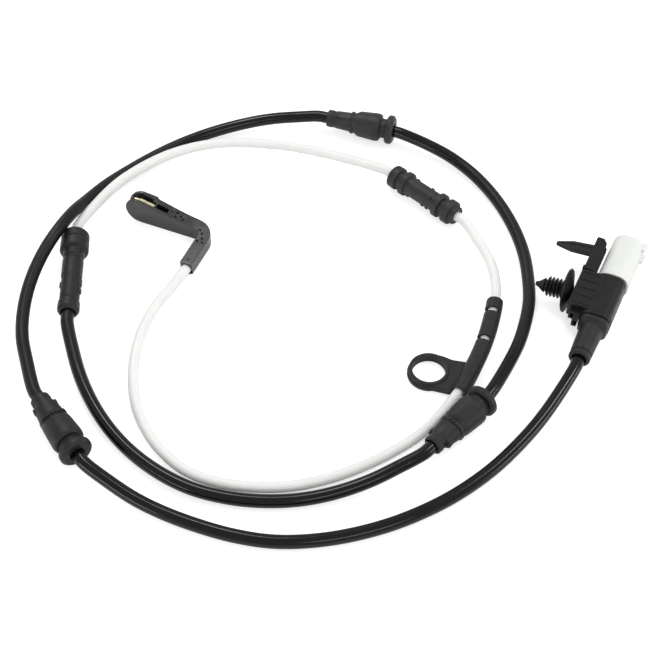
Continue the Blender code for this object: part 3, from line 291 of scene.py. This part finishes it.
def finer(name, mat, slot, width, form=None):
    """A finer copy of a CAD node: soft edges, smooth shading and the finished material."""
    node = bpy.data.objects[name]
    bm = bmesh.new()
    bm.from_mesh(node.data)
    bm.transform(node.matrix_world)
    bmesh.ops.remove_doubles(bm, verts=bm.verts, dist=SAME_POINT)
    bmesh.ops.dissolve_limit(bm, angle_limit=math.radians(FLAT_ANGLE), verts=bm.verts, edges=bm.edges)
    if form:
        form(bm)
    bmesh.ops.triangulate(bm, faces=bm.faces)
    ease_edges(bm, width)
    bmesh.ops.remove_doubles(bm, verts=bm.verts, dist=SAME_CORNER)
    bmesh.ops.triangulate(bm, faces=[f for f in bm.faces if len(f.verts) > 4])
    mesh = bpy.data.meshes.new(slot)
    bm.to_mesh(mesh)
    bm.free()
    mesh.shade_smooth()
    mesh.set_sharp_from_angle(angle=math.radians(SHARP_ANGLE))
    piece = link(bpy.data.objects.new(name + "_fine", mesh))
    weighted = piece.modifiers.new("normals", "WEIGHTED_NORMAL")
    weighted.keep_sharp = True
    mesh.materials.append(mat)
    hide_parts(name)
    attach(piece, "root")


def dress(name, mat):
    """Gives a CAD node the finished material."""
    obj = bpy.data.objects[name]
    obj.data.materials.clear()
    obj.data.materials.append(mat)


def eased(x, start, end, high, slope, low):
    """Height of a curve that leaves a slope and runs out flat."""
    h = end - start
    t = min(max((x - start) / h, 0.0), 1.0)
    leaving, reaching = 2 * t**3 - 3 * t**2 + 1, 3 * t**2 - 2 * t**3
    return high * leaving + h * slope * (t**3 - 2 * t**2 + t) + low * reaching


def head_form(bm):
    """Eases the blade's top into the leg's, and lifts the leg's underside and the sleeve's mouth."""
    head = Matrix.Translation((*HEAD_AT, 0)) @ Matrix.Rotation(math.radians(HEAD_HEADING), 4, "Z")
    bm.transform(head.inverted())
    start, end = BLEND
    slope_start, slope_end = SLOPE
    for k in range(BLEND_CUTS):
        plane = (start + (end - start) * k / (BLEND_CUTS - 1), 0, 0)
        geom = bm.verts[:] + bm.edges[:] + bm.faces[:]
        bmesh.ops.bisect_plane(bm, geom=geom, dist=ON_CUT, plane_co=plane, plane_no=(1, 0, 0))
    blade_top = max(v.co.z for v in bm.verts if v.co.x < start)
    slope = (LEG_TOP - blade_top) / (slope_end - slope_start)
    high = LEG_TOP + slope * (start - slope_end)
    for vert in bm.verts:
        x, y, z = vert.co
        line = LEG_TOP + slope * (min(x, slope_end) - slope_end)
        if x > start and abs(z - line) < ON_LINE:
            vert.co.z = eased(x, start, end, high, slope, LEG_TOP)
        in_mouth = y < MOUTH_FROM_Y and math.hypot(x - LEG_X, z - LEAD_Z) < MOUTH_R
        if in_mouth:
            vert.co.z = z + LEAD_RISE
        elif z < ON_FLOOR and (x > LEG_FROM_X or y < LEG_FROM_Y):
            vert.co.z = LEG_UNDERSIDE
    bm.transform(head)


def sleeve():
    sleeving = material("white_sleeving", (0.80, 0.80, 0.79), 0.42, 0.02, 250, (1200, 0.05),
                        subsurface=1.0)
    lead("sleeve_lead", "white_sleeve", SLEEVE_ROUTE, SLEEVE_D, sleeving)


def cable():
    jacket = material("cable_jacket", (0.002, 0.002, 0.0022), 0.16, 0.2, 300, (1500, 0.08), uneven=0.05,
                      ior=1.37, dull=0.28)
    lead("cable_lead", "black_cable", CABLE_ROUTE, CABLE_D, jacket)


def rubber_pieces():
    """Splice, grommets and boot. The two grommets at the back are painted lighter, for light from behind.
    """
    rubber = material("black_rubber", (0.009, 0.009, 0.0095), 0.50, 0.25, 500, (3500, 0.30), ior=1.42)
    # Lighter copy of the rubber: painted light on the two grommets at the back, for light from behind and
    # above.
    painted_light_rubber = material("rubber_with_painted_light", (0.020, 0.020, 0.0215), 0.50, 0.25, 500, (3500, 0.30), ior=1.42)
    for name in ("splice", "grommet_near", "grommet_left", "plug_boot"):
        finer(name, rubber, "black_rubber", RUBBER_EASE)
    for name in ("double_grommet", "grommet_far"):
        finer(name, painted_light_rubber, "black_rubber", RUBBER_EASE)


def ring_clip():
    matt = material("matt_plastic", (0.009, 0.009, 0.0095), 0.55, 0.15, 700, (6000, 0.20), ior=1.42)
    finer("ring_clip", matt, "black_plastic", PLASTIC_EASE)


def plug_plastics():
    plastic = material("black_plastic", (0.0060, 0.0060, 0.0063), 0.40, 0.15, 700, (6000, 0.20), ior=1.37)
    for name in ("plug_housing", "clip_bracket", "fir_tree"):
        finer(name, plastic, "black_plastic", PLASTIC_EASE)


def sensor_head():
    glossy = material("head_plastic", (0.011, 0.011, 0.0112), 0.30, 0.10, 700, (4000, 0.06), ior=1.6)
    finer("sensor_head", glossy, "black_plastic", HEAD_EASE, head_form)


def plug_insert():
    nylon = material("white_nylon", (0.76, 0.775, 0.745), 0.45, 0.01, 400, (3000, 0.06), subsurface=0.2)
    finer("plug_insert", nylon, "white_nylon", NYLON_EASE)


def brass_pieces():
    brass = material("contact_brass", (0.74, 0.66, 0.44), 0.28, 0.1, 900, (5000, 0.15), metallic=1.0)
    for name in ("spring_strip", "terminal_left", "terminal_right"):
        dress(name, brass)


def camera():
    data = bpy.data.cameras.new("camera")
    data.lens = CAMERA_LENS
    data.sensor_width = CAMERA_SENSOR
    data.clip_start = 0.01
    cam = link(bpy.data.objects.new("camera", data))
    down = math.radians(CAMERA_ELEVATION)
    back = Vector((0, -math.cos(down), math.sin(down)))
    cam.location = Vector(LOOK_AT) + back * CAMERA_DISTANCE
    cam.rotation_euler = (math.radians(90 - CAMERA_ELEVATION), 0, 0)
    bpy.context.scene.camera = cam


def lamp(name, place, size, power):
    """A rectangular lamp that looks at the origin."""
    data = bpy.data.lights.new(name, "AREA")
    data.shape = "RECTANGLE"
    data.size, data.size_y = size
    data.energy = power
    obj = link(bpy.data.objects.new(name, data))
    obj.location = place
    obj.rotation_euler = (-Vector(place)).to_track_quat("-Z", "Y").to_euler()


def floor_material():
    """White floor that keeps the object's shadow, with a glow for the camera and less in reflections."""
    mat = bpy.data.materials.new("floor")
    mat.use_nodes = True
    tree = mat.node_tree
    tree.nodes.clear()
    out = tree.nodes.new("ShaderNodeOutputMaterial")
    matt = tree.nodes.new("ShaderNodeBsdfDiffuse")
    matt.inputs["Color"].default_value = FLOOR_COLOUR
    glow = tree.nodes.new("ShaderNodeEmission")
    both = tree.nodes.new("ShaderNodeAddShader")
    path = tree.nodes.new("ShaderNodeLightPath")
    seen = None
    for ray, share in (("Is Camera Ray", FLOOR_GLOW), ("Is Glossy Ray", FLOOR_MIRRORED),
                       ("Is Transmission Ray", FLOOR_GLOW)):
        part = tree.nodes.new("ShaderNodeMath")
        part.operation = "MULTIPLY_ADD"
        part.inputs[1].default_value = share
        part.inputs[2].default_value = 0.0
        wire(tree, path, ray, part, 0)
        if seen:
            wire(tree, seen, 0, part, 2)
        seen = part
    wire(tree, seen, 0, glow, "Strength")
    wire(tree, matt, 0, both, 0)
    wire(tree, glow, 0, both, 1)
    wire(tree, both, 0, out, "Surface")
    return mat


def studio():
    """Floor, surroundings and lamps."""
    mesh = bpy.data.meshes.new("floor")
    corners = [(x * FLOOR_REACH, y * FLOOR_REACH, 0) for x, y in ((-1, -1), (1, -1), (1, 1), (-1, 1))]
    mesh.from_pydata(corners, [], [(0, 1, 2, 3)])
    ground = link(bpy.data.objects.new("floor", mesh))
    ground.location.z = -FLOOR_DROP
    mesh.materials.append(floor_material())
    world = bpy.data.worlds.new("world")
    bpy.context.scene.world = world
    world.use_nodes = True
    back = world.node_tree.nodes["Background"]
    back.inputs["Color"].default_value = (1, 1, 1, 1)
    back.inputs["Strength"].default_value = WORLD
    for name, place, size, power in LAMPS:
        lamp(name, place, size, power)
    bpy.context.scene.view_settings.view_transform = "Standard"


camera()
studio()
sleeve()
cable()
rubber_pieces()
ring_clip()
plug_plastics()
sensor_head()
plug_insert()
brass_pieces()
